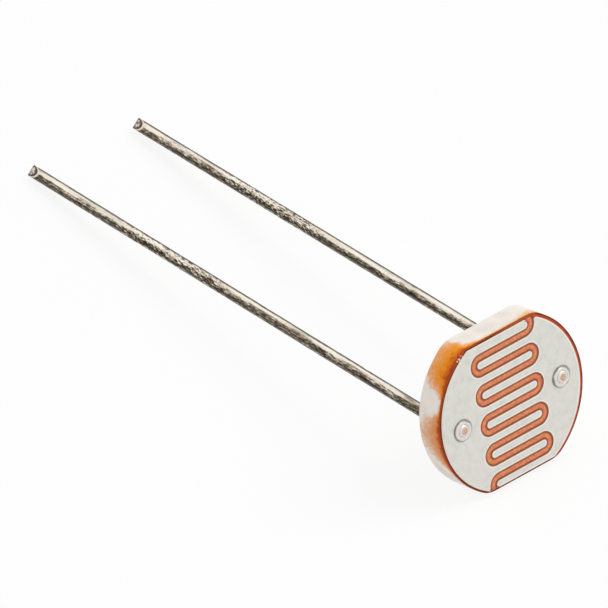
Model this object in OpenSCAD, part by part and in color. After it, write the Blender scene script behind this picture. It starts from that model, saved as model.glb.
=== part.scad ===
// Photoresistor: a ceramic disc with a light-sensitive film on its front face and two comb
// electrodes on the film. The combs leave a winding track of film bare between them. A wire
// lead goes through the disc to each comb, and a clear coat seals the front.
// Each piece is drawn with the disc flat, its face up and its leads down, and is then laid on
// the table as the part comes to rest: on the back edge of its lower flat and on a lead's tip.

/* [Ceramic disc] */
// Diameter of the disc
disc_d = 7; // [5:0.1:12]
// Depth of the flats cut off the top and the bottom of the disc
flat_cut = 0.43; // [0.2:0.01:0.8]
// Thickness of the disc
disc_t = 1.25; // [0.8:0.05:3]
// Chamfer of the front edge
front_chamfer = 0.03; // [0.02:0.01:0.15]
// Radius of the back edge
back_round = 0.15; // [0.05:0.01:0.3]

/* [Film and coat] */
// Thickness of the light-sensitive film
film_t = 0.03; // [0.01:0.01:0.1]
// Thickness of the clear coat over the electrodes
coat_t = 0.04; // [0.02:0.01:0.2]
// Thickness of the drop of coat over each lead end
drop_cover = 0.05; // [0.03:0.01:0.2]

/* [Electrodes] */
// Thickness of the electrodes
electrode_t = 0.02; // [0.01:0.01:0.06]
// Bare film between the chamfer and the electrodes round the disc
rim_bare = 0.09; // [0.05:0.01:0.3]
// Bare film between the chamfer and the electrodes along the flats
flat_bare = 0.06; // [0.05:0.01:0.3]
// How far below the disc's centre the pattern of the combs is printed
print_drop = 0.05; // [0:0.01:0.05]
// Width of the bare track between the combs
track_w = 0.3; // [0.15:0.01:0.35]
// Width of a comb's finger, before the fingers are spaced evenly over the face
finger_w = 0.33; // [0.25:0.01:0.6]
// Land between the bends of the track and the beads of paste
track_land = 0.41; // [0.1:0.01:0.9]

/* [Leads] */
// Diameter of the wire
lead_d = 0.48; // [0.3:0.01:0.7]
// Length of the left lead behind its kink
lead_len = 25.65; // [8:0.05:40]
// How much shorter the right lead is cut
right_lead_cut = 0.5; // [0:0.1:3]
// From the round edge of the disc to the middle of a lead
lead_inset = 1.05; // [0.7:0.05:1.4]
// Clearance round a lead in its hole
hole_clear = 0.04; // [0.02:0.01:0.1]
// From the back of the disc to the kink where a lead starts to lean
lead_exit = 0.3; // [0.1:0.05:2]
// How much the wire swells at its kink
kink_swell = 0.003; // [0.002:0.001:0.02]
// Angle of the kink
lead_lean = 6.4; // [1:0.1:15]
// Way the leads lean, turning from the right lead to the upper flat
lean_way = 41.5; // [0:0.5:90]
// How far the end of the wire stands out of the paste
lead_proud = 0.03; // [0.01:0.01:0.1]
// Chamfer of the front end of the wire
end_chamfer = 0.04; // [0.01:0.01:0.1]
// Length of the pinched tip that the cutter left
tip_len = 0.22; // [0.15:0.01:0.6]
// How much the tip's end is thinner than the wire, all round
tip_taper = 0.04; // [0.01:0.01:0.06]
// Depth and half width of the nick beside the tip
nick = 0.05; // [0.02:0.01:0.06]

/* [Conductive paste] */
// Diameter of the bead round a lead end
paste_d = 0.85; // [0.75:0.05:1.3]
// Height of the bead above the electrodes
paste_rise = 0.09; // [0.04:0.01:0.15]
// How deep the paste runs into the hole
paste_depth = 0.5; // [0.1:0.05:0.7]

/* [Hidden] */
$fn = 64;
left = -1;
right = 1;

disc_r = disc_d / 2;
flat_y = disc_r - flat_cut;
film_top = disc_t + film_t;
electrode_top = film_top + electrode_t;
coat_top = electrode_top + coat_t;

// Combs, drawn on a grid: equal strips from flat to flat, with a run of the track between neighbours
grid = 0.001;
print_r = disc_r - front_chamfer - rim_bare;
print_y = flat_y - front_chamfer - flat_bare;
print_room = 2 * print_y + track_w;
strips = 2 * round(print_room / (2 * (finger_w + track_w)));
track_pitch = 2 * grid * floor(print_room / (2 * grid * strips));
finger_r = (track_pitch - track_w) / 2;
bend_outer_r = (track_pitch + track_w) / 2;
function strip_y(k) = ((strips - 1) / 2 - k) * track_pitch;

// Leads and their joints
lead_r = lead_d / 2;
lead_x = disc_r - lead_inset;
hole_r = lead_r + hole_clear;
paste_r = paste_d / 2;
bend_room = lead_x - paste_r - track_land - bend_outer_r;
flat_room = sqrt(print_r ^ 2 - print_y ^ 2) - finger_r;
bend_x = grid * floor(min(bend_room, flat_room) / grid);
wire_end = electrode_top + paste_rise + lead_proud;
drop_top = wire_end + drop_cover;
drop_sag = lead_proud + drop_cover;
drop_r = (paste_r ^ 2 + drop_sag ^ 2) / (2 * drop_sag);
lean_dir = [cos(lean_way), sin(lean_way)];
lead_dir = [sin(lead_lean) * lean_dir.x, sin(lead_lean) * lean_dir.y, -cos(lead_lean)];
kink_gap = lead_r * tan(lead_lean);
kink_r = norm([lead_r + kink_swell, kink_gap]);
function shaft_len(side) = side == right ? lead_len - right_lead_cut : lead_len;
function along_lead(side, way) = [side * lead_x, 0, -lead_exit] + way * lead_dir;
function full_wire_end(side) = along_lead(side, shaft_len(side) - tip_len);
function tip_end(side) = along_lead(side, shaft_len(side));

// Rest: the round of the lower flat's back edge and the left wire's end reach the table together
foot = full_wire_end(left);
reach_y = foot.y + flat_y - back_round;
reach_z = back_round - foot.z;
rest_tilt = acos((lead_r - back_round) / norm([reach_y, reach_z])) - atan2(reach_z, reach_y);
function laid_y(p) = p.y * sin(rest_tilt) - p.z * cos(rest_tilt);
table = back_round * (sin(rest_tilt) - 1) - (flat_y - back_round) * cos(rest_tilt);

// Box of the laid part: its middle goes over the origin
wire_side = lead_r * sqrt(1 - lead_dir.x ^ 2);
wire_back = (lead_r - tip_taper) * sqrt(1 - laid_y(lead_dir) ^ 2);
box_x = [
    min(-disc_r, full_wire_end(left).x - wire_side),
    max(disc_r, full_wire_end(right).x + wire_side)
];
box_y = [
    laid_y([0, front_chamfer - flat_y, coat_top]),
    max(laid_y(tip_end(left)), laid_y(tip_end(right))) + wire_back
];

module lay_down() {
    translate([-(box_x[0] + box_x[1]) / 2, -(box_y[0] + box_y[1]) / 2, -table])
        rotate([90 - rest_tilt, 0, 0])
            children();
}

// Section across the disc: round back corners and chamfered front corners
module edge_section(half, top) {
    inner = half - back_round;
    polygon([
        [-half, back_round], [half, back_round], [half, top - front_chamfer],
        [half - front_chamfer, top], [front_chamfer - half, top], [-half, top - front_chamfer]
    ]);
    translate([-inner, 0])
        square([2 * inner, 2 * back_round]);
    for (side = [left, right])
        translate([side * inner, back_round])
            circle(back_round);
}

// The disc, filled from its back up to a given height
module disc_to(top) {
    intersection() {
        rotate_extrude()
            intersection() {
                edge_section(disc_r, top);
                square([disc_r, top]);
            }
        rotate([90, 0, 90])
            linear_extrude(2 * disc_d, center = true)
                edge_section(flat_y, top);
    }
}

module at_lead(side) {
    translate([side * lead_x, 0, 0])
        children();
}

module lead_holes() {
    for (side = [left, right])
        at_lead(side)
            translate([0, 0, -disc_t])
                cylinder(r = hole_r, h = 3 * disc_t);
}

// Left comb: a pad and the even strips, with rooms for the right comb's fingers
module comb_pattern() {
    difference() {
        translate([-disc_d, -disc_d])
            square([disc_d - bend_x, 2 * disc_d]);
        for (k = [1 : 2 : strips - 1])
            translate([-bend_x, strip_y(k)])
                circle(bend_outer_r);
        translate([-bend_x - bend_outer_r, strip_y(strips - 1) - disc_d])
            square([2 * bend_outer_r, disc_d]);
    }
    for (k = [0 : 2 : strips - 2])
        translate([0, strip_y(k)]) {
            square([2 * bend_x, 2 * finger_r], center = true);
            translate([bend_x, 0])
                circle(finger_r);
        }
    translate([-bend_x, strip_y(0)])
        square([2 * bend_x + finger_r, disc_d]);
}

// A comb within the bare rim of the face. The right comb is the left one turned half a turn.
module comb_outline(side) {
    intersection() {
        circle(print_r);
        square([2 * print_r, 2 * print_y], center = true);
        translate([0, -print_drop])
            rotate(side == right ? 180 : 0)
                comb_pattern();
    }
}

module electrode(side) {
    color([0.84, 0.84, 0.82])
        lay_down()
            difference() {
                translate([0, 0, film_top])
                    linear_extrude(electrode_t)
                        comb_outline(side);
                lead_holes();
            }
}

module electrode_left() {
    electrode(left);
}

module electrode_right() {
    electrode(right);
}

module ceramic_disc() {
    color([0.93, 0.92, 0.89])
        lay_down()
            difference() {
                disc_to(disc_t);
                lead_holes();
            }
}

module sensing_film() {
    color([0.83, 0.42, 0.25])
        lay_down()
            difference() {
                disc_to(film_top);
                disc_to(disc_t);
                lead_holes();
            }
}

// Wire from the front end down to the kink
module lead_shank() {
    translate([0, 0, -lead_exit])
        cylinder(r = lead_r, h = lead_exit + wire_end - end_chamfer);
    translate([0, 0, wire_end - end_chamfer])
        cylinder(r1 = lead_r, r2 = lead_r - end_chamfer, h = end_chamfer);
}

// Straight wire behind the kink, with the cutter's nick and the pinched tip
module lead_shaft(length) {
    full = length - tip_len;
    rotate_extrude()
        polygon([
            [0, -kink_gap], [lead_r, -kink_gap], [lead_r, -full], [lead_r - nick, -full - nick],
            [lead_r - tip_taper / 2, -full - 2 * nick], [lead_r - tip_taper, -length], [0, -length]
        ]);
}

module lead(side) {
    color([0.66, 0.64, 0.6])
        lay_down()
            at_lead(side) {
                lead_shank();
                translate([0, 0, -lead_exit]) {
                    sphere(kink_r);
                    rotate([0, -lead_lean, lean_way])
                        lead_shaft(shaft_len(side));
                }
            }
}

module lead_left() {
    lead(left);
}

module lead_right() {
    lead(right);
}

// Bead on the electrode and sleeve in the hole, seated on the wire
module paste_joint() {
    translate([0, 0, electrode_top])
        rotate_extrude() {
            intersection() {
                union() {
                    square([paste_r - paste_rise, paste_rise]);
                    translate([paste_r - paste_rise, 0])
                        circle(paste_rise);
                }
                translate([lead_r, 0])
                    square([paste_r, paste_rise]);
            }
            translate([lead_r, -paste_depth])
                square([hole_clear, paste_depth]);
        }
}

module paste(side) {
    color([0.8, 0.78, 0.75])
        lay_down()
            at_lead(side)
                paste_joint();
}

module paste_left() {
    paste(left);
}

module paste_right() {
    paste(right);
}

// Low dome of resin over a lead end, clear of the bead's shoulder
module coat_drop() {
    intersection() {
        translate([0, 0, drop_top - drop_r])
            sphere(drop_r);
        translate([0, 0, electrode_top])
            cylinder(r = drop_r, h = drop_r);
    }
}

module clear_coat() {
    color([0.95, 0.96, 0.96, 0.3])
        lay_down()
            difference() {
                union() {
                    difference() {
                        disc_to(coat_top);
                        disc_to(film_top);
                    }
                    for (side = [left, right])
                        at_lead(side)
                            coat_drop();
                }
                translate([0, 0, film_top])
                    linear_extrude(electrode_t)
                        for (side = [left, right])
                            comb_outline(side);
                for (side = [left, right])
                    at_lead(side) {
                        lead_shank();
                        paste_joint();
                    }
            }
}

ceramic_disc();
sensing_film();
electrode_left();
electrode_right();
lead_left();
lead_right();
paste_left();
paste_right();
clear_coat();
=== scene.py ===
"""A photoresistor as it lies on a pale table, seen from the left of its front face and from above."""
import math

import bmesh
import bpy
from mathutils import Matrix, Vector, noise


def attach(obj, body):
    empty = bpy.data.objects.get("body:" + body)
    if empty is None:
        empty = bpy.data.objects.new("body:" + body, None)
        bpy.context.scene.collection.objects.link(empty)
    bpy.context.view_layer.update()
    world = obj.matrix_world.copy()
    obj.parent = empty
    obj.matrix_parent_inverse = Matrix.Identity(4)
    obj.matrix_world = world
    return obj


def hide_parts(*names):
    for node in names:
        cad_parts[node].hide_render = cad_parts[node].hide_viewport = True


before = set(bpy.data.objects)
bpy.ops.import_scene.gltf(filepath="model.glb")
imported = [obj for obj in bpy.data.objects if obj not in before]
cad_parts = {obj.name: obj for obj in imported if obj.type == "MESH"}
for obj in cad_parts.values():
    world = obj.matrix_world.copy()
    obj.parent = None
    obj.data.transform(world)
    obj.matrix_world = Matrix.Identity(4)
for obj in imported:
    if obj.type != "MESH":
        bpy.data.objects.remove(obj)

bpy.context.view_layer.update()

MM = 0.001
LEFT, RIGHT = -1, 1
QUARTER_TURN = math.pi / 2
FULL_TURN = 2 * math.pi

# The disc and its layers, in millimetres
DISC_R = 3.498
FLAT_Y = 3.07
DISC_T = 1.25
FILM_TOP = 1.28
ELECTRODE_TOP = 1.30
COAT_TOP = 1.34
COAT_SKIN = 0.025
EDGE = 0.03
BACK_ROUND = 0.15
CORNER_WEAR = 0.16
COAT_RIPPLE = 0.002
RESIN_IOR = 1.5

# The ceramic's uneven side beyond a radius, and the radius inside which the stain soon ends
SIDE_FROM = 2.9
SIDE_DIP, DIP_BROAD, DIP_FINE = 0.006, 0.005, 0.003
STAIN_R = 3.0
STAIN_STEEP = 6.0

# The printed electrodes and the track between them
PRINT_R = 3.38
PRINT_Y = 2.98
PRINT_DROP = 0.05
PRINT_SHIFT = 0.045
TRACK_PITCH = 0.626
TOP_RUN = 4 * TRACK_PITCH
BEND_X = 1.152
TRACK_HALF = 0.15
TRACK_FLARE = 0.2
WORN_SPOT = (-2.03, 2.79)

# The leads, with the radius of their rounded front end by the distance from it
LEAD_X = 2.45
LEAD_R = 0.24
HOLE_R = 0.28
WIRE_END = 1.42
END_ROUND = [(0, 0.19), (0.006, 0.205), (0.02, 0.225), (0.04, 0.237), (0.07, LEAD_R)]
LEAD_EXIT = 0.3
LEAD_LEN = {LEFT: 25.67, RIGHT: 25.17}
LEAD_LEAN = math.radians(6.4)
LEAN_WAY = math.radians(41.5)
GRIPPED = (-18.5, -14.5)
GRIP_FADE = 2.0
SCRATCH_LEAN = math.radians(17)
TIP_CUT = 0.55
TIP_RIDGE = 0.03
TIP_R = 0.232
DENT_BROAD, DENT_FINE, DENT_PIT = 0.004, 0.0025, 0.03

# The beads of paste, and the drops of resin over them
PASTE_R = 0.425
PASTE_RISE = 0.09
PASTE_DEPTH = 0.5
PASTE_SHOULDER = LEAD_R + 0.05
RIM_BROAD, RIM_FINE, RISE_UNEVEN = 0.05, 0.02, 0.18
DROP_TOP = 1.47
DROP_R = 1.169
DROP_BLEND = 0.02

# The resin round the disc's edge, as insets and heights, and the insets of its top and its underside
COAT_EDGE = [
    (0.03, 1.339), (0.014, 1.332), (0.004, 1.322), (0, 1.31), (0, 1.252), (0.004, 1.266), (0.03, 1.286),
]
COAT_OVER = EDGE + 0.012
COAT_UNDER = 0.1

# How finely the pieces are drawn
EDGE_POINTS = 480
BACK_RINGS = 8
WALL_RINGS = 14
FACE_RINGS = 4
FILM_RINGS = 8
DISC_SHARP = math.radians(40)
WIRE_POINTS = 64
WIRE_STEP = 0.11
PLACES_IN_DISC = [0.4, 0.8, 1.2]
KINK_STEP = 0.03
KINK_RINGS = 10
KINK_BLEND = 0.04
TIP_RINGS = 24
SHORT_WAY = 0.01
WIRE_SHARP = math.radians(25)
HOLE_POINTS = 64
HOLE_SPAN = (-1, 3)
BEAD_POINTS = 96
BEAD_ARC = 10
COAT_RINGS_OVER = 84
COAT_RINGS_UNDER = 56
SPECK = 0.0002

# The part's rest on the table
REST_TILT = math.radians(10.37)
DISC_BACK = Vector((-0.6352, -11.9358, 2.9953))
DISC_TURN = QUARTER_TURN - REST_TILT
LAY_DOWN = (Matrix.Scale(MM, 4) @ Matrix.Translation(DISC_BACK)
            @ Matrix.Rotation(DISC_TURN, 4, "X"))

# The way from which the wires' painted highlight and painted shade are measured, which also sets which way
# the cut tips' ridge runs, and the side of the wires on which that painted highlight and shade lie
PAINTED_SHADING_WAY = Vector((0.742, 0.01, 0.671))
PAINTED_SHADING_SIDE = Vector((-0.670, 0.135, 0.730))

# The picture: where it looks, and how much of the table its width takes in
VIEW_AIM = Vector((-0.0336, -0.8190, 1.0588))
VIEW_AZIMUTH = math.radians(-40.29)
VIEW_ELEVATION = math.radians(35.66)
VIEW_ROLL = math.radians(-2.22)
VIEW_WIDTH = 22.791
VIEW_LENS = 1200
VIEW_SENSOR = 36
VIEW_NEAR = 0.1

# Light and floor
SKY = 0.7
FLOOR_HALF = 0.5
FLOOR_TONE = 0.93
FLOOR_LIFT = 0.85
KEY_FROM = Vector((0.5, -0.4, 0.77))
KEY_POWER = 1.5
LAMP_DISTANCE = 0.6
LAMP_SIZE = 0.35


# Colours

def srgb(red, green, blue):
    """Colour as seen on a screen, 0 to 255, as the linear colour that shaders take."""
    linear = [(v / 255 + 0.055) / 1.055 for v in (red, green, blue)]
    return tuple(v ** 2.4 for v in linear) + (1,)


def grey(value):
    return (value, value, value, 1)


WHITE = grey(1)

CERAMIC_WHITES = [
    (0.3, srgb(234, 224, 214)), (0.55, srgb(246, 240, 231)), (0.8, srgb(240, 230, 221)),
]
SCORCHED = srgb(202, 80, 14)
BURNT = srgb(170, 62, 26)

TRACK_ORANGE = srgb(216, 118, 56)
TRACK_RED = srgb(212, 108, 72)
TRACK_PALE = srgb(228, 140, 88)
TRACK_BROWN = srgb(140, 68, 30)
RIM_REDS = srgb(192, 80, 42), srgb(158, 60, 28)
RIM_DARKS = srgb(104, 36, 12), srgb(78, 26, 10)
RIM_LEFT = srgb(172, 74, 22)
FLAT_BROWN = srgb(150, 78, 46)
FILM_SILVER = srgb(238, 230, 218)
CHIPPED = srgb(236, 228, 216)

ELECTRODE_GREYS = [
    (0.3, srgb(206, 206, 199)), (0.5, srgb(216, 215, 207)), (0.7, srgb(223, 221, 213)),
]
ELECTRODE_SPECK = srgb(200, 202, 199)
ELECTRODE_PALE = srgb(238, 234, 225)
ELECTRODE_BROWN = srgb(166, 92, 56)
ELECTRODE_RIM = srgb(240, 230, 217)
PAST_PRINT = srgb(184, 76, 38)
BARE_MOUTH = srgb(184, 76, 36)
BEAD_LINE = srgb(128, 126, 120)

COPPER_PALE = srgb(224, 190, 168)
COPPER_DARK = srgb(180, 138, 112)
COPPER_RING = srgb(226, 215, 206)
TIP_BAND = srgb(236, 218, 196)
TIP_PALE = srgb(232, 212, 198)
TIP_DARK = srgb(96, 70, 60)
TIP_RIM = srgb(34, 24, 20)

PASTE_PALE = srgb(228, 226, 222)
PASTE_DARK = srgb(210, 206, 200)
PASTE_THIN = srgb(134, 132, 128)

# How far the film's orange has run down the disc's side, in millimetres, by degrees round the disc
STAIN_REACH = [
    (0, 0.2), (30, 0.18), (52, 0.4), (62, 0.62), (75, 0.25), (95, 0.18), (108, 0.2), (114, 0.6),
    (119, 2.0), (125, 3.0), (140, 3.0), (146, 1.5), (150, 0.5), (155, 0.14), (161, 0.22),
    (167, 1.1), (173, 1.9), (180, 2.0), (187, 1.6), (195, 1.0), (204, 0.3), (214, 0.16),
    (226, 0.16), (262, 0.18), (290, 0.3), (318, 0.9), (338, 0.5), (350, 0.25), (360, 0.2),
]
STAIN_TINT = [
    (0, srgb(218, 160, 110)), (70, srgb(246, 192, 132)), (112, srgb(248, 156, 16)),
    (150, srgb(242, 140, 4)), (172, srgb(224, 152, 92)), (215, srgb(216, 136, 74)),
    (300, srgb(220, 146, 76)), (360, srgb(218, 160, 110)),
]

# Painted highlight and painted shade on the tin: how bright it is, from the side of a wire turned away from
# the painted shading's way to the side that faces it, painted shade rising to a painted highlight band, then
# a painted dark line at the last
TIN_PAINTED_SHADING = [
    (0.0, 0.36), (0.1, 0.3), (0.19, 0.19), (0.27, 0.24), (0.42, 0.37), (0.5, 0.43), (0.56, 0.55),
    (0.64, 0.7), (0.72, 0.8), (0.82, 0.76), (0.88, 0.5), (0.93, 0.22), (1.0, 0.1),
]
TIN_COLOURS = [
    (0.0, srgb(24, 18, 14)), (0.15, srgb(54, 45, 36)), (0.3, srgb(94, 82, 68)),
    (0.42, srgb(134, 121, 104)), (0.5, srgb(170, 158, 140)), (0.58, srgb(206, 195, 178)),
    (0.68, srgb(232, 223, 208)), (0.85, srgb(245, 238, 225)), (1.0, srgb(250, 246, 238)),
]


# Shader nodes

def feed(tree, socket, value):
    if isinstance(value, bpy.types.NodeSocket):
        tree.links.new(value, socket)
    else:
        socket.default_value = value


def add(tree, kind, inputs=None, **settings):
    """A new node with its settings and its inputs, each a value or another node's output."""
    node = tree.nodes.new(kind)
    for name, value in settings.items():
        setattr(node, name, value)
    for key, value in (inputs or {}).items():
        feed(tree, node.inputs[key], value)
    return node


def calc(tree, operation, *values):
    return add(tree, "ShaderNodeMath", dict(enumerate(values)), operation=operation).outputs[0]


def split(tree, vector):
    return add(tree, "ShaderNodeSeparateXYZ", {0: vector}).outputs


def length(tree, a, b):
    squares = [calc(tree, "MULTIPLY", v, v) for v in (a, b)]
    return calc(tree, "SQRT", calc(tree, "ADD", *squares))


def smooth(tree, value, low, high):
    """0 below low and 1 above high, with a soft step between."""
    inputs = {"Value": value, "From Min": low, "From Max": high}
    return add(tree, "ShaderNodeMapRange", inputs, interpolation_type="SMOOTHSTEP").outputs[0]


def fade(tree, value, low, high):
    """1 below low and 0 above high."""
    return calc(tree, "SUBTRACT", 1.0, smooth(tree, value, low, high))


def spread(tree, value, low, high):
    """A value from 0 to 1 spread over another range."""
    inputs = {"Value": value, "To Min": low, "To Max": high}
    return add(tree, "ShaderNodeMapRange", inputs).outputs[0]


def mix(tree, share, first, second):
    inputs = {0: share, 6: first, 7: second}
    return add(tree, "ShaderNodeMix", inputs, data_type="RGBA").outputs[2]


def blend(tree, share, first, second):
    """Like mix, for numbers."""
    return add(tree, "ShaderNodeMix", {0: share, 2: first, 3: second}, data_type="FLOAT").outputs[0]


def facing(tree, way):
    """How far the surface faces a way: 1 straight at it, -1 straight from it."""
    normal = add(tree, "ShaderNodeTexCoord").outputs["Normal"]
    return add(tree, "ShaderNodeVectorMath", {0: normal, 1: way}, operation="DOT_PRODUCT").outputs["Value"]


def ramp(tree, value, stops):
    """Colour by value: stops are pairs of a place from 0 to 1 and a colour."""
    node = add(tree, "ShaderNodeValToRGB", {"Fac": value})
    elements = node.color_ramp.elements
    while len(elements) < len(stops):
        elements.new(1)
    for element, (place, colour) in zip(elements, stops):
        element.position = place
        element.color = colour
    return node.outputs["Color"]


def cloud(tree, coords, scale, detail=3.0, roughness=0.55, stretch=(1, 1, 1)):
    """Noise from 0 to 1, with scale in features per millimetre."""
    placed = add(tree, "ShaderNodeMapping", {"Vector": coords, "Scale": stretch}).outputs[0]
    inputs = {"Vector": placed, "Scale": scale, "Detail": detail, "Roughness": roughness}
    return add(tree, "ShaderNodeTexNoise", inputs).outputs[0]


def bump(tree, height, depth):
    """Normal from a height from 0 to 1 that stands for a depth in millimetres."""
    inputs = {"Strength": 1.0, "Distance": depth * MM, "Height": height}
    return add(tree, "ShaderNodeBump", inputs).outputs[0]


def new_tree(name):
    material = bpy.data.materials.new(name)
    material.use_nodes = True
    material.node_tree.nodes.clear()
    return material, material.node_tree


def close(tree, shader):
    add(tree, "ShaderNodeOutputMaterial", {"Surface": shader})


def surface(tree, colour, rough, normal, metal=0.0, gloss=0.5):
    inputs = {"Base Color": colour, "Roughness": rough, "Metallic": metal, "Normal": normal,
              "Specular IOR Level": gloss}
    close(tree, add(tree, "ShaderNodeBsdfPrincipled", inputs).outputs[0])


# Places on the part for the shaders

def disc_coords(tree):
    """Place on the part in millimetres: X and Y across the disc's face, Z up from the disc's back."""
    place = add(tree, "ShaderNodeTexCoord").outputs["Object"]
    inputs = {"Vector": place, "Location": DISC_BACK * MM, "Rotation": (DISC_TURN, 0, 0),
              "Scale": (MM, MM, MM)}
    return add(tree, "ShaderNodeMapping", inputs, vector_type="TEXTURE").outputs[0]


def wire_coords(tree, coords, lean=LEAD_LEAN):
    """The same millimetres, sheared so that Z runs along the leaning wires, or aslant of them."""
    x, y, z = split(tree, coords)
    slope = math.tan(lean)
    x = calc(tree, "MULTIPLY_ADD", z, slope * math.cos(LEAN_WAY), x)
    y = calc(tree, "MULTIPLY_ADD", z, slope * math.sin(LEAN_WAY), y)
    return add(tree, "ShaderNodeCombineXYZ", {0: x, 1: y, 2: z}).outputs[0]


def from_lead(tree, x, y):
    """Distance from the axis of the nearer lead, across the disc's face."""
    return length(tree, calc(tree, "SUBTRACT", calc(tree, "ABSOLUTE", x), LEAD_X), y)


def track_distance(tree, x, y):
    """Distance from the middle line of the winding track, in millimetres."""
    print_y = calc(tree, "ADD", y, PRINT_DROP)
    turned = calc(tree, "MULTIPLY", print_y, calc(tree, "MULTIPLY", calc(tree, "SIGN", x), -1.0))
    runs = calc(tree, "DIVIDE", turned, TRACK_PITCH)
    to_run = calc(tree, "ABSOLUTE", calc(tree, "SUBTRACT", runs, calc(tree, "ROUND", runs)))
    to_run = calc(tree, "MULTIPLY", to_run, TRACK_PITCH)
    beyond = calc(tree, "SUBTRACT", calc(tree, "ABSOLUTE", x), BEND_X)
    in_pair = calc(tree, "FLOORED_MODULO", calc(tree, "ADD", runs, 1.5), 2.0)
    from_middle = calc(tree, "MULTIPLY", calc(tree, "SUBTRACT", in_pair, 1.0), TRACK_PITCH)
    to_bend = calc(tree, "SUBTRACT", length(tree, beyond, from_middle), TRACK_PITCH / 2)
    to_bend = calc(tree, "ABSOLUTE", to_bend)
    in_bend = calc(tree, "GREATER_THAN", beyond, 0.0)
    step = calc(tree, "SUBTRACT", to_bend, to_run)
    return calc(tree, "ADD", to_run, calc(tree, "MULTIPLY", step, in_bend))


def past_print(tree, x, y):
    """How far out a place lies from the electrodes' outer edge, which is printed a little off centre."""
    past_round = calc(tree, "SUBTRACT", length(tree, calc(tree, "ADD", x, PRINT_SHIFT), y), PRINT_R)
    past_flat = calc(tree, "SUBTRACT", calc(tree, "ABSOLUTE", y), PRINT_Y)
    return calc(tree, "MAXIMUM", past_round, past_flat)


# Ceramic

def stain_reach(tree, coords, turn, blotch):
    """How far down the side the orange has run at a place, in millimetres."""
    most = max(reach for _, reach in STAIN_REACH)
    stops = [(degrees / 360, grey(reach / most)) for degrees, reach in STAIN_REACH]
    reach = split(tree, ramp(tree, turn, stops))[0]
    reach = calc(tree, "MULTIPLY", reach, spread(tree, blotch, 0.7 * most, 1.3 * most))
    ragged = cloud(tree, coords, 7.0, detail=5.0, roughness=0.7)
    return calc(tree, "MULTIPLY", reach, spread(tree, ragged, 0.1, 1.9))


def ceramic_material():
    """White ceramic that the film's orange has run into, unevenly, from the front edge."""
    material, tree = new_tree("ceramic_stained")
    coords = disc_coords(tree)
    x, y, z = split(tree, coords)
    blotch = cloud(tree, coords, 1.6, detail=4.0)
    turn = calc(tree, "DIVIDE", calc(tree, "ARCTAN2", y, x), FULL_TURN)
    turn = calc(tree, "ADD", turn, spread(tree, blotch, -0.02, 0.02))
    turn = calc(tree, "FLOORED_MODULO", turn, 1.0)
    reach = stain_reach(tree, coords, turn, blotch)
    inward = calc(tree, "MAXIMUM", calc(tree, "SUBTRACT", STAIN_R, length(tree, x, y)), 0.0)
    depth = calc(tree, "SUBTRACT", DISC_T, z)
    far = calc(tree, "ADD", depth, calc(tree, "MULTIPLY", inward, STAIN_STEEP))
    stain = fade(tree, calc(tree, "DIVIDE", far, reach), 0.1, 1.0)
    white = ramp(tree, cloud(tree, coords, 0.9, detail=5.0), CERAMIC_WHITES)
    tint = ramp(tree, turn, [(degrees / 360, tint) for degrees, tint in STAIN_TINT])
    colour = mix(tree, stain, white, tint)
    scorch = calc(tree, "DIVIDE", far, calc(tree, "MULTIPLY_ADD", reach, 0.14, 0.03))
    scorch = calc(tree, "ADD", scorch, spread(tree, cloud(tree, coords, 5.0), -0.5, 0.5))
    colour = mix(tree, fade(tree, scorch, 0.1, 1.2), colour, SCORCHED)
    colour = mix(tree, fade(tree, scorch, 0.0, 0.6), colour, BURNT)
    grain = cloud(tree, coords, 26.0, detail=6.0, roughness=0.7)
    surface(tree, colour, spread(tree, grain, 0.5, 0.75), bump(tree, grain, 0.006), gloss=0.15)
    return material


# Film

def film_track(tree, coords, away, patch):
    """Colour of the bare track: blotched orange with browner edges."""
    crumb = cloud(tree, coords, 7.0, detail=4.0)
    middle = mix(tree, patch, TRACK_ORANGE, TRACK_RED)
    middle = mix(tree, smooth(tree, crumb, 0.4, 0.65), middle, TRACK_PALE)
    return mix(tree, smooth(tree, away, 0.045, 0.115), middle, TRACK_BROWN)


def film_rim(tree, x, y, past, patch):
    """Colour of the film's rim: red with a dark edge on the right, dark with a red edge on the left."""
    red = mix(tree, patch, *RIM_REDS)
    dark = mix(tree, patch, *RIM_DARKS)
    on_flat = smooth(tree, calc(tree, "ABSOLUTE", y), PRINT_Y - 0.01, PRINT_Y + 0.03)
    pale = calc(tree, "MULTIPLY", smooth(tree, x, -0.8, 0.4), calc(tree, "GREATER_THAN", y, 0.0))
    right = mix(tree, smooth(tree, past, 0.06, 0.13), red, dark)
    right = mix(tree, on_flat, right, mix(tree, pale, dark, FLAT_BROWN))
    left = mix(tree, smooth(tree, past, 0.035, 0.08), dark, RIM_LEFT)
    return mix(tree, fade(tree, x, -1.6, 0.4), right, left)


def film_chips(tree, coords, x, y, past):
    """1 where flecks of the rim are worn off, in one small spot."""
    fleck = cloud(tree, coords, 11.0, detail=2.0)
    from_spot = [calc(tree, "SUBTRACT", v, at) for v, at in zip((x, y), WORN_SPOT)]
    worn = fade(tree, length(tree, *from_spot), 0.1, 0.24)
    chip = calc(tree, "MULTIPLY", smooth(tree, fleck, 0.52, 0.56), worn)
    return calc(tree, "MULTIPLY", chip, smooth(tree, past, 0.0, 0.03))


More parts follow.
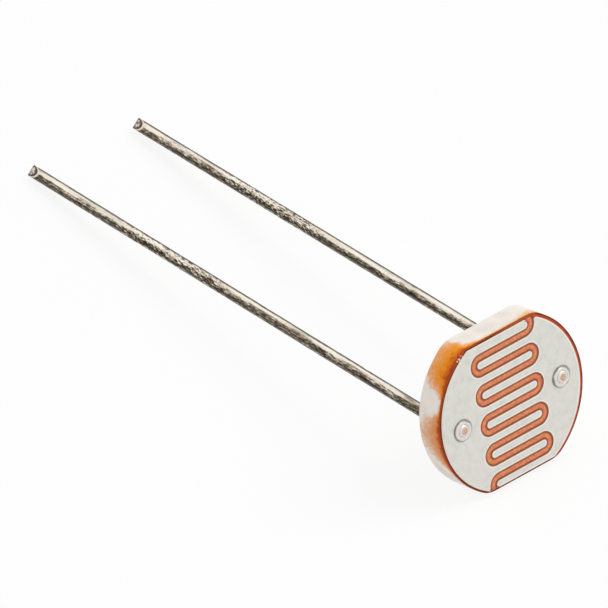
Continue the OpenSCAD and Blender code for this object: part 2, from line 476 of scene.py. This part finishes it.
def film_material():
    """Orange sintered film, browner along the edges of the track and red-brown round the rim."""
    material, tree = new_tree("film_orange")
    coords = disc_coords(tree)
    x, y = split(tree, coords)[:2]
    away = track_distance(tree, x, y)
    away = calc(tree, "ADD", away, spread(tree, cloud(tree, coords, 9.0), -0.02, 0.02))
    past = past_print(tree, x, y)
    patch = smooth(tree, cloud(tree, coords, 2.4, detail=4.0), 0.35, 0.65)
    silver = smooth(tree, length(tree, x, y), PRINT_R - 0.03, PRINT_R - 0.01)
    silver = calc(tree, "MULTIPLY", silver, smooth(tree, away, TRACK_HALF, TRACK_HALF + 0.03))
    colour = mix(tree, silver, film_track(tree, coords, away, patch), FILM_SILVER)
    rim = film_rim(tree, x, y, past, patch)
    colour = mix(tree, smooth(tree, past, -0.01, 0.015), colour, rim)
    colour = mix(tree, film_chips(tree, coords, x, y, past), colour, CHIPPED)
    grain = cloud(tree, coords, 40.0, detail=5.0, roughness=0.65)
    surface(tree, colour, spread(tree, grain, 0.4, 0.65), bump(tree, grain, 0.003), gloss=0.1)
    return material


# Electrodes

def from_track(tree, x, y):
    """Distance from the track for the electrodes, whose outer strips border on no track."""
    outer = smooth(tree, calc(tree, "ABSOLUTE", y), TOP_RUN + 0.25, TOP_RUN + 0.35)
    inner = fade(tree, calc(tree, "ABSOLUTE", x), BEND_X - 0.1, BEND_X)
    return calc(tree, "ADD", track_distance(tree, x, y), calc(tree, "MULTIPLY", outer, inner))


def bare_mouth(tree, x, y, past):
    """1 where the ends of the track flare at the rim."""
    off = calc(tree, "SUBTRACT", calc(tree, "ABSOLUTE", x), BEND_X + TRACK_PITCH / 2)
    near = calc(tree, "SUBTRACT", TRACK_HALF + TRACK_FLARE, calc(tree, "ABSOLUTE", off))
    late = calc(tree, "ADD", past, TRACK_FLARE)
    corner = [calc(tree, "MAXIMUM", v, 0.0) for v in (near, late)]
    bare = smooth(tree, length(tree, *corner), TRACK_FLARE, TRACK_FLARE + 0.01)
    up = calc(tree, "MULTIPLY", calc(tree, "SIGN", x), y)
    for measure in (late, up):
        bare = calc(tree, "MULTIPLY", bare, calc(tree, "GREATER_THAN", measure, 0.0))
    return bare


def electrode_material():
    """Matt silver-grey metal layer, paler along the edges of the track."""
    material, tree = new_tree("electrode_silver")
    coords = disc_coords(tree)
    x, y = split(tree, coords)[:2]
    away = from_track(tree, x, y)
    past = past_print(tree, x, y)
    mottle = cloud(tree, coords, 3.2, detail=6.0, roughness=0.65)
    speck = cloud(tree, coords, 22.0, detail=3.0)
    round_bead = fade(tree, calc(tree, "SUBTRACT", from_lead(tree, x, y), PASTE_R), 0.01, 0.045)
    colour = ramp(tree, mottle, ELECTRODE_GREYS)
    layers = (
        (smooth(tree, speck, 0.62, 0.75), ELECTRODE_SPECK),
        (fade(tree, away, 0.17, 0.25), ELECTRODE_PALE),
        (fade(tree, away, TRACK_HALF + 0.01, TRACK_HALF + 0.03), ELECTRODE_BROWN),
        (smooth(tree, past, -0.07, -0.03), ELECTRODE_RIM),
        (smooth(tree, past, -0.005, 0.01), PAST_PRINT),
        (bare_mouth(tree, x, y, past), BARE_MOUTH),
        (calc(tree, "MULTIPLY", round_bead, 0.6), BEAD_LINE),
    )
    for share, tint in layers:
        colour = mix(tree, share, colour, tint)
    rough = spread(tree, speck, 0.42, 0.62)
    surface(tree, colour, rough, bump(tree, mottle, 0.004), metal=0.25)
    return material


# Wires

def grip_marks(tree, coords):
    """Slanting scratches, about 0, on the stretch by which the wires were gripped."""
    aslant = wire_coords(tree, coords, SCRATCH_LEAN)
    grit = cloud(tree, aslant, 17.0, detail=3.0, roughness=0.6, stretch=(1, 1, 0.32))
    z = split(tree, coords)[2]
    low, high = GRIPPED
    ends = smooth(tree, z, low - GRIP_FADE, low), fade(tree, z, high, high + GRIP_FADE)
    strength = calc(tree, "MULTIPLY", calc(tree, "MULTIPLY", *ends), 2.1)
    return calc(tree, "MULTIPLY", calc(tree, "SUBTRACT", grit, 0.5), strength)


def tin_painted_shading_and_wear(tree, coords, line, scuff, speck):
    """How bright the tin is, from 0 to 1: painted highlight and painted shade by the side of the wire on its
    painted side, a plain mid tone on the far side, and the grains along it.
    """
    side = facing(tree, PAINTED_SHADING_WAY)
    place = calc(tree, "MULTIPLY_ADD", side, 0.5, 0.5)
    for grain, share in ((line, 0.08), (scuff, 0.07)):
        place = calc(tree, "ADD", place, spread(tree, grain, -share, share))
    # Painted highlight and painted shade, by how far the surface faces the painted shading's way
    worn = split(tree, ramp(tree, place, [(at, grey(tone)) for at, tone in TIN_PAINTED_SHADING]))[0]
    # Where the painted highlight lies, which sets how strongly the grains show there
    painted_highlight = smooth(tree, side, -0.1, 0.4)
    # The side of the wire that gets the painted highlight and shade; the far side keeps a plain mid tone
    painted_side = smooth(tree, facing(tree, PAINTED_SHADING_SIDE), -0.5, 0.1)
    worn = blend(tree, painted_side, 0.6, worn)
    grains = ((speck, 0.5, 1.6, 0.5), (line, 1.0, 0.5, 1.3), (scuff, 0.8, 0.3, 0.9))
    for grain, plain, dull, bright in grains:
        strength = blend(tree, painted_side, plain, spread(tree, painted_highlight, dull, bright))
        worn = calc(tree, "MULTIPLY_ADD", calc(tree, "SUBTRACT", grain, 0.5), strength, worn)
    # The grip's scratches show only on the side with the painted highlight and shade
    marks = calc(tree, "MULTIPLY", grip_marks(tree, coords), painted_side)
    return calc(tree, "ADD", worn, marks)


def cut_tip(tree, coords, tin):
    """The tin with its cut tips: mottled metal with a dark rim, below a pale band."""
    cut = add(tree, "ShaderNodeAttribute", attribute_name="cut").outputs["Fac"]
    crumb = cloud(tree, coords, 11.0, detail=3.0)
    bared = mix(tree, smooth(tree, crumb, 0.44, 0.6), TIP_PALE, TIP_DARK)
    tin = mix(tree, smooth(tree, cut, -0.08, -0.05), tin, TIP_BAND)
    tin = mix(tree, smooth(tree, cut, 0.0, 0.02), tin, bared)
    pinch = fade(tree, calc(tree, "ABSOLUTE", calc(tree, "SUBTRACT", cut, 0.012)), 0.022, 0.05)
    return mix(tree, calc(tree, "MULTIPLY", pinch, 0.95), tin, TIP_RIM)


def wire_material():
    """Tinned wire: painted highlight and painted shade across one side, a plain mid tone on the far side,
    streaks and scuffs along it, copper at the front end.
    """
    material, tree = new_tree("wire_tinned")
    coords = disc_coords(tree)
    x, y, z = split(tree, coords)
    along = wire_coords(tree, coords)
    line = cloud(tree, along, 9.0, detail=4.0, roughness=0.6, stretch=(1, 1, 0.05))
    scuff = cloud(tree, along, 4.0, detail=6.0, roughness=0.7, stretch=(1, 1, 0.12))
    speck = cloud(tree, along, 20.0, detail=3.0, roughness=0.65, stretch=(1, 1, 0.2))
    # Tin with painted highlight and painted shade by the side of the wire, and streaks along it
    tin = ramp(tree, tin_painted_shading_and_wear(tree, coords, line, scuff, speck), TIN_COLOURS)
    tin = cut_tip(tree, coords, tin)
    copper = mix(tree, smooth(tree, speck, 0.42, 0.58), COPPER_PALE, COPPER_DARK)
    copper = mix(tree, smooth(tree, from_lead(tree, x, y), 0.11, 0.17), copper, COPPER_RING)
    end = smooth(tree, z, WIRE_END - 0.06, WIRE_END - 0.045)
    colour = mix(tree, end, tin, copper)
    rough = spread(tree, scuff, 0.25, 0.55)
    surface(tree, colour, rough, bump(tree, speck, 0.008), metal=0.85)
    return material


# Paste and resin

def paste_material():
    """Silver paste: bright and lumpy, grey where it thins out on the electrode, most of all on the right."""
    material, tree = new_tree("paste_silver")
    coords = disc_coords(tree)
    x, y = split(tree, coords)[:2]
    lump = cloud(tree, coords, 9.0, detail=5.0, roughness=0.6)
    bright = mix(tree, lump, PASTE_PALE, PASTE_DARK)
    outward = calc(tree, "SUBTRACT", calc(tree, "ABSOLUTE", x), LEAD_X)
    to_right = calc(tree, "MULTIPLY", outward, calc(tree, "SIGN", x))
    reach = calc(tree, "MULTIPLY_ADD", smooth(tree, to_right, -0.1, 0.3), 0.045, from_lead(tree, x, y))
    reach = calc(tree, "ADD", reach, spread(tree, cloud(tree, coords, 4.0), -0.05, 0.05))
    colour = mix(tree, smooth(tree, reach, 0.375, 0.41), bright, PASTE_THIN)
    surface(tree, colour, spread(tree, lump, 0.25, 0.5), bump(tree, lump, 0.012), metal=0.3)
    return material


def coat_material():
    """Clear resin: only its gloss shows."""
    material, tree = new_tree("resin_clear")
    coords = disc_coords(tree)
    x, y = split(tree, coords)[:2]
    ripple = bump(tree, cloud(tree, coords, 1.1, detail=2.0), 0.01)
    rough = spread(tree, cloud(tree, coords, 6.0), 0.04, 0.14)
    gloss = add(tree, "ShaderNodeBsdfGlossy", {"Roughness": rough, "Normal": ripple}).outputs[0]
    clear = add(tree, "ShaderNodeBsdfTransparent").outputs[0]
    inside = add(tree, "ShaderNodeNewGeometry").outputs["Backfacing"]
    forward = LAY_DOWN.to_3x3() @ Vector((0, 0, 1 / MM))
    thin = smooth(tree, past_print(tree, x, y), -0.06, 0.03)
    share = add(tree, "ShaderNodeFresnel", {"IOR": RESIN_IOR, "Normal": ripple}).outputs[0]
    share = calc(tree, "MULTIPLY", share, calc(tree, "SUBTRACT", 1.0, inside))
    share = calc(tree, "MULTIPLY", share, smooth(tree, facing(tree, forward), -0.2, 0.2))
    share = calc(tree, "MULTIPLY", share, spread(tree, thin, 1.0, 0.05))
    close(tree, add(tree, "ShaderNodeMixShader", {0: share, 1: clear, 2: gloss}).outputs[0])
    return material


# Pieces, drawn in the disc's millimetres and laid down with it

def show(name, data):
    """A new object in the scene."""
    made = bpy.data.objects.new(name, data)
    bpy.context.scene.collection.objects.link(made)
    return made


def lay(name, points, faces):
    """A new mesh from points in the disc's millimetres."""
    mesh = bpy.data.meshes.new(name)
    mesh.from_pydata([LAY_DOWN @ p for p in points], [], faces)
    return mesh


def piece(name, points, faces, node, material):
    mesh = lay(name, points, faces)
    mesh.shade_smooth()
    mesh.materials.append(material)
    made = show(name, mesh)
    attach(made, "root")
    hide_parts(node)
    return made


def ring_faces(rings, count, closed=False):
    """Quads between neighbouring rings of points."""
    faces = []
    for k in range(rings if closed else rings - 1):
        low, high = k * count, (k + 1) % rings * count
        for i in range(count):
            j = (i + 1) % count
            faces.append((low + i, low + j, high + j, high + i))
    return faces


def closed_tube(points, count, first, last, flip=False):
    """Faces of rings of points, closed at each end by a fan round a middle point that is added."""
    faces = ring_faces(len(points) // count, count)
    end = len(points) - count
    points += [first, last]
    low, high = len(points) - 2, len(points) - 1
    for k in range(count):
        j = (k + 1) % count
        faces.append((low, j, k))
        faces.append((high, end + k, end + j))
    return [face[::-1] for face in faces] if flip else faces


def wire_places(side):
    """Distances along a wire at which it gets a ring, closer at its ends and its kink."""
    kink = WIRE_END + LEAD_EXIT
    total = kink + LEAD_LEN[side]
    places = [place for place, _ in END_ROUND] + PLACES_IN_DISC
    places += [kink + KINK_STEP * k for k in range(-KINK_RINGS, KINK_RINGS + 1)]
    first, last = places[-1], total - TIP_CUT
    count = int((last - first) / WIRE_STEP)
    places += [first + (last - first) * k / count for k in range(1, count + 1)]
    places += [last + TIP_CUT * k / TIP_RINGS for k in range(1, TIP_RINGS + 1)]
    return places, kink, total


def wire_radius(place, total):
    """Radius along a wire: rounded front end, straight wire, and a tip that narrows a little."""
    stops = END_ROUND + [(total - TIP_CUT, LEAD_R), (total, TIP_R)]
    for (a, ra), (b, rb) in zip(stops, stops[1:]):
        if place <= b:
            return ra + (rb - ra) * (place - a) / (b - a)
    return TIP_R


def wire_middle(side, place, kink):
    """Middle of a wire, with the kink rounded over a short way."""
    lean = Vector((math.sin(LEAD_LEAN) * math.cos(LEAN_WAY),
                   math.sin(LEAD_LEAN) * math.sin(LEAN_WAY), -math.cos(LEAD_LEAN)))
    total = Vector((0, 0, 0))
    spots = [place + KINK_BLEND * k for k in range(-4, 5)]
    for spot in spots:
        past = max(spot - kink, 0)
        total += Vector((side * LEAD_X, 0, WIRE_END - min(spot, kink))) + past * lean
    return total / len(spots)


def dent(point, place, kink):
    """How far the wire's skin lies below its full radius, from rubbing and bending."""
    if place < kink:
        return 0
    broad = noise.noise(point * 0.9)
    fine = noise.noise(Vector((point.x * 7, point.y * 7, point.z * 0.8)))
    pit = max(noise.noise(point * 3.1 + Vector((7, 3, 1))) - 0.35, 0)
    return DENT_BROAD + DENT_BROAD * broad + DENT_FINE * fine + DENT_PIT * pit


def cut_ring(radius, to_tip):
    """A wire's ring, across and along its ridge, with how far each point lies inside a cutter's face."""
    room = TIP_RIDGE + (LEAD_R - TIP_RIDGE) * to_tip / TIP_CUT
    for k in range(WIRE_POINTS):
        a = FULL_TURN * k / WIRE_POINTS
        wide, high = radius * math.cos(a), radius * math.sin(a)
        inside = abs(wide) - room
        if inside > 0:
            wide = math.copysign(room, wide)
            inside = min(radius - math.hypot(room, high), to_tip)
        yield wide, high, inside


def make_wire(name, side, node, material):
    """A wire with a skin that is a little uneven and a tip that side cutters cut to a ridge."""
    # The cut tips' ridge lies along the way from which the wires' painted highlight and shade are measured
    ridge = LAY_DOWN.to_3x3().inverted() @ PAINTED_SHADING_WAY
    places, kink, total = wire_places(side)
    points, cuts = [], []
    for place in places:
        middle = wire_middle(side, place, kink)
        ahead = (wire_middle(side, place + SHORT_WAY, kink) - middle).normalized()
        across = ahead.cross(ridge).normalized()
        along = across.cross(ahead)
        for wide, high, inside in cut_ring(wire_radius(place, total), total - place):
            cuts.append(inside)
            out = across * wide + along * high
            points.append(middle + out * (1 - dent(middle + out, place, kink) / LEAD_R))
    front, tip = Vector((side * LEAD_X, 0, WIRE_END)), wire_middle(side, total, kink)
    faces = closed_tube(points, WIRE_POINTS, front, tip, flip=True)
    made = piece(name, points, faces, node, material)
    made.data.attributes.new("cut", "FLOAT", "POINT").data.foreach_set("value", cuts + [-1, 0])
    made.data.set_sharp_from_angle(angle=WIRE_SHARP)


def bead_profile(rim, rise):
    """Distances from the lead's axis and heights above the electrode, round one cut through a bead."""
    profile = [(LEAD_R, -PASTE_DEPTH), (LEAD_R, rise * 0.85), (LEAD_R + 0.02, rise * 0.96)]
    for n in range(BEAD_ARC + 1):
        a = QUARTER_TURN * n / BEAD_ARC
        profile.append((PASTE_SHOULDER + (rim - PASTE_SHOULDER) * math.sin(a), rise * math.cos(a)))
    return profile + [(HOLE_R, 0), (HOLE_R, -PASTE_DEPTH)]


def make_bead(name, side, node, material):
    """Bead of paste with an uneven rim, and its sleeve in the hole."""
    points = []
    for k in range(BEAD_POINTS):
        a = FULL_TURN * k / BEAD_POINTS
        way = Vector((math.cos(a), math.sin(a), 0))
        seed = way * 1.3 + Vector((side * 5, 0, 0))
        rim = PASTE_R * (1 + RIM_BROAD * noise.noise(seed) + RIM_FINE * noise.noise(seed * 3))
        rise = PASTE_RISE * (1 + RISE_UNEVEN * noise.noise(seed + Vector((0, 0, 4))))
        for out, up in bead_profile(rim, rise):
            points.append(Vector((side * LEAD_X, 0, ELECTRODE_TOP + up)) + way * out)
    faces = ring_faces(BEAD_POINTS, len(points) // BEAD_POINTS, closed=True)
    piece(name, points, faces, node, material)


def outline(angle, inset):
    """Distance from the disc's centre to its edge less an inset, with the flats' corners worn round."""
    steep = max(abs(math.sin(angle)), 1e-6)
    arc, flat = DISC_R - inset, (FLAT_Y - inset) / steep
    near = max(CORNER_WEAR - abs(arc - flat), 0) / CORNER_WEAR
    return min(arc, flat) - near * near * CORNER_WEAR / 4


def edge_ring(inset, height, share=1.0):
    """Ring of points along the disc's edge, or at a share of the way out to it."""
    ring = []
    for k in range(EDGE_POINTS):
        a = FULL_TURN * k / EDGE_POINTS
        out = outline(a, inset) * share
        ring.append(Vector((out * math.cos(a), out * math.sin(a), height)))
    return ring


def disc_shell(profile):
    """Points and faces of a closed shell round the disc's axis, from rings given bottom up."""
    points = [p for inset, height, share in profile for p in edge_ring(inset, height, share)]
    first, last = [Vector((0, 0, height)) for _, height, _ in (profile[0], profile[-1])]
    return points, closed_tube(points, EDGE_POINTS, first, last)


def hole_cutter(side):
    """A round bar that fills one hole of the disc and stands out at both ends."""
    points = []
    for height in HOLE_SPAN:
        for k in range(HOLE_POINTS):
            a = FULL_TURN * k / HOLE_POINTS
            points.append(Vector((side * LEAD_X + HOLE_R * math.cos(a), HOLE_R * math.sin(a), height)))
    ends = [tuple(range(HOLE_POINTS))[::-1], tuple(range(HOLE_POINTS, 2 * HOLE_POINTS))]
    return show("hole", lay("hole", points, ring_faces(2, HOLE_POINTS) + ends))


def clean_mesh(mesh):
    """Join points that coincide and drop faces without width, which a cut can leave."""
    clean = bmesh.new()
    clean.from_mesh(mesh)
    bmesh.ops.remove_doubles(clean, verts=clean.verts, dist=SPECK * MM)
    bmesh.ops.triangulate(clean, faces=[f for f in clean.faces if len(f.verts) > 4])
    bmesh.ops.dissolve_degenerate(clean, edges=clean.edges, dist=SPECK * MM)
    clean.to_mesh(mesh)
    clean.free()


def cut_holes(made):
    """Cut the holes for the leads through a piece."""
    cutters = [hole_cutter(side) for side in (LEFT, RIGHT)]
    for cutter in cutters:
        cut = made.modifiers.new("hole", "BOOLEAN")
        cut.operation = "DIFFERENCE"
        cut.solver = "EXACT"
        cut.object = cutter
    shown = made.evaluated_get(bpy.context.evaluated_depsgraph_get())
    mesh = bpy.data.meshes.new_from_object(shown)
    made.modifiers.clear()
    made.data = mesh
    clean_mesh(mesh)
    for cutter in cutters:
        bpy.data.objects.remove(cutter)


def make_disc(material):
    """The ceramic, with round back edges and a surface that is not quite even."""
    back = [(BACK_ROUND, 0, k / BACK_RINGS) for k in range(1, BACK_RINGS)]
    for k in range(BACK_RINGS + 1):
        a = QUARTER_TURN * k / BACK_RINGS
        back.append((BACK_ROUND * (1 - math.sin(a)), BACK_ROUND * (1 - math.cos(a)), 1))
    height = DISC_T - EDGE - BACK_ROUND
    wall = [(0, BACK_ROUND + height * k / WALL_RINGS, 1) for k in range(1, WALL_RINGS + 1)]
    front = [(EDGE * 0.4, DISC_T - EDGE * 0.4, 1)]
    front += [(EDGE, DISC_T, k / FACE_RINGS) for k in range(FACE_RINGS, 0, -1)]
    points, faces = disc_shell(back + wall + front)
    for p in points:
        if p.z < DISC_T - EDGE and math.hypot(p.x, p.y) > SIDE_FROM:
            dip = SIDE_DIP + DIP_BROAD * noise.noise(p * 1.7) + DIP_FINE * noise.noise(p * 6)
            p.xy *= 1 - dip * (1 - p.z / DISC_T) / DISC_R
    made = piece("disc_body", points, faces, "ceramic_disc", material)
    cut_holes(made)
    made.data.set_sharp_from_angle(angle=DISC_SHARP)


def make_film(material):
    """The film, which laps a little over the disc's front edge."""
    under = [(EDGE, DISC_T, k / FACE_RINGS) for k in range(1, FACE_RINGS + 1)]
    side = [(0, DISC_T - EDGE, 1), (0, DISC_T, 1), (EDGE * 0.3, FILM_TOP - EDGE * 0.4, 1)]
    over = [(EDGE, FILM_TOP, k / FILM_RINGS) for k in range(FILM_RINGS, 0, -1)]
    points, faces = disc_shell(under + side + over)
    made = piece("film_layer", points, faces, "sensing_film", material)
    made.data.set_sharp_from_angle(angle=DISC_SHARP)


def coat_height(point):
    """Height of the resin: level over the face, with a low drop over each lead end."""
    level = COAT_TOP + COAT_RIPPLE * noise.noise(point * 1.2)
    side = RIGHT if point.x > 0 else LEFT
    away = math.hypot(point.x - side * LEAD_X, point.y)
    if away >= DROP_R:
        return level
    drop = DROP_TOP - DROP_R + math.sqrt(DROP_R ** 2 - away ** 2)
    near = max(DROP_BLEND - abs(drop - level), 0) / DROP_BLEND
    return max(drop, level) + near * near * DROP_BLEND / 4


def coat_ring(inset, share, lower=0.0):
    """Ring of points on the resin's surface, or below it, at a share of the way out to the edge."""
    return [Vector((p.x, p.y, coat_height(p) - lower)) for p in edge_ring(inset, 0, share)]


def make_coat(material):
    """The clear resin: over the face and its edge, with an underside close above the electrodes."""
    points = []
    for k in range(1, COAT_RINGS_OVER + 1):
        points += coat_ring(COAT_OVER, k / COAT_RINGS_OVER)
    for inset, height in COAT_EDGE:
        points += edge_ring(inset, height)
    for k in range(COAT_RINGS_UNDER, 0, -1):
        points += coat_ring(COAT_UNDER, k / COAT_RINGS_UNDER, COAT_SKIN)
    top = coat_height(Vector((0, 0, 0)))
    ends = Vector((0, 0, top)), Vector((0, 0, top - COAT_SKIN))
    faces = closed_tube(points, EDGE_POINTS, *ends, flip=True)
    piece("coat_skin", points, faces, "clear_coat", material)


def dress(node, material):
    """A better material on a node whose shape stays."""
    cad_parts[node].material_slots[0].material = material


def make_part():
    make_disc(ceramic_material())
    make_film(film_material())
    silver = electrode_material()
    dress("electrode_left", silver)
    dress("electrode_right", silver)
    tin = wire_material()
    make_wire("wire_left", LEFT, "lead_left", tin)
    make_wire("wire_right", RIGHT, "lead_right", tin)
    paste = paste_material()
    make_bead("bead_left", LEFT, "paste_left", paste)
    make_bead("bead_right", RIGHT, "paste_right", paste)
    make_coat(coat_material())


# Stage

def seen(tree):
    """1 for rays that show the background itself: straight to the camera, mirrored or through glass."""
    path = add(tree, "ShaderNodeLightPath").outputs
    mirrored = calc(tree, "MAXIMUM", path["Is Glossy Ray"], path["Is Transmission Ray"])
    return calc(tree, "MAXIMUM", path["Is Camera Ray"], mirrored)


def make_floor():
    half = FLOOR_HALF
    corners = [(-half, -half, 0), (half, -half, 0), (half, half, 0), (-half, half, 0)]
    mesh = bpy.data.meshes.new("floor")
    mesh.from_pydata(corners, [], [(0, 1, 2, 3)])
    material, tree = new_tree("floor_white")
    matt = add(tree, "ShaderNodeBsdfDiffuse", {"Color": grey(FLOOR_TONE)}).outputs[0]
    white = add(tree, "ShaderNodeEmission", {"Color": WHITE, "Strength": 1.0}).outputs[0]
    share = calc(tree, "MULTIPLY", seen(tree), FLOOR_LIFT)
    close(tree, add(tree, "ShaderNodeMixShader", {0: share, 1: matt, 2: white}).outputs[0])
    mesh.materials.append(material)
    floor = show("floor", mesh)


def make_world():
    world = bpy.data.worlds.new("sky")
    world.use_nodes = True
    tree = world.node_tree
    tree.nodes.clear()
    strength = spread(tree, seen(tree), SKY, 1.0)
    inputs = {"Color": WHITE, "Strength": strength}
    back = add(tree, "ShaderNodeBackground", inputs).outputs[0]
    add(tree, "ShaderNodeOutputWorld", {"Surface": back})
    bpy.context.scene.world = world


def make_lamp(name, way, power):
    lamp = bpy.data.lights.new(name, "AREA")
    lamp.energy = power
    lamp.size = LAMP_SIZE
    holder = show(name, lamp)
    holder.location = way.normalized() * LAMP_DISTANCE
    holder.rotation_mode = "QUATERNION"
    holder.rotation_quaternion = (-way).to_track_quat("-Z", "Y")
    holder.visible_camera = False


def make_camera():
    data = bpy.data.cameras.new("camera")
    data.sensor_width = VIEW_SENSOR
    data.lens = VIEW_LENS
    distance = VIEW_WIDTH * MM * VIEW_LENS / VIEW_SENSOR
    data.clip_start, data.clip_end = VIEW_NEAR, 4 * distance
    turn = (Matrix.Rotation(VIEW_AZIMUTH, 4, "Z") @ Matrix.Rotation(QUARTER_TURN - VIEW_ELEVATION, 4, "X")
            @ Matrix.Rotation(VIEW_ROLL, 4, "Z"))
    back = Matrix.Translation((0, 0, distance))
    holder = show("camera", data)
    holder.matrix_world = Matrix.Translation(VIEW_AIM * MM) @ turn @ back
    bpy.context.scene.camera = holder


make_part()
make_floor()
make_world()
make_lamp("key_light", KEY_FROM, KEY_POWER)
make_camera()
bpy.context.scene.view_settings.view_transform = "Standard"

bpy.context.view_layer.update()
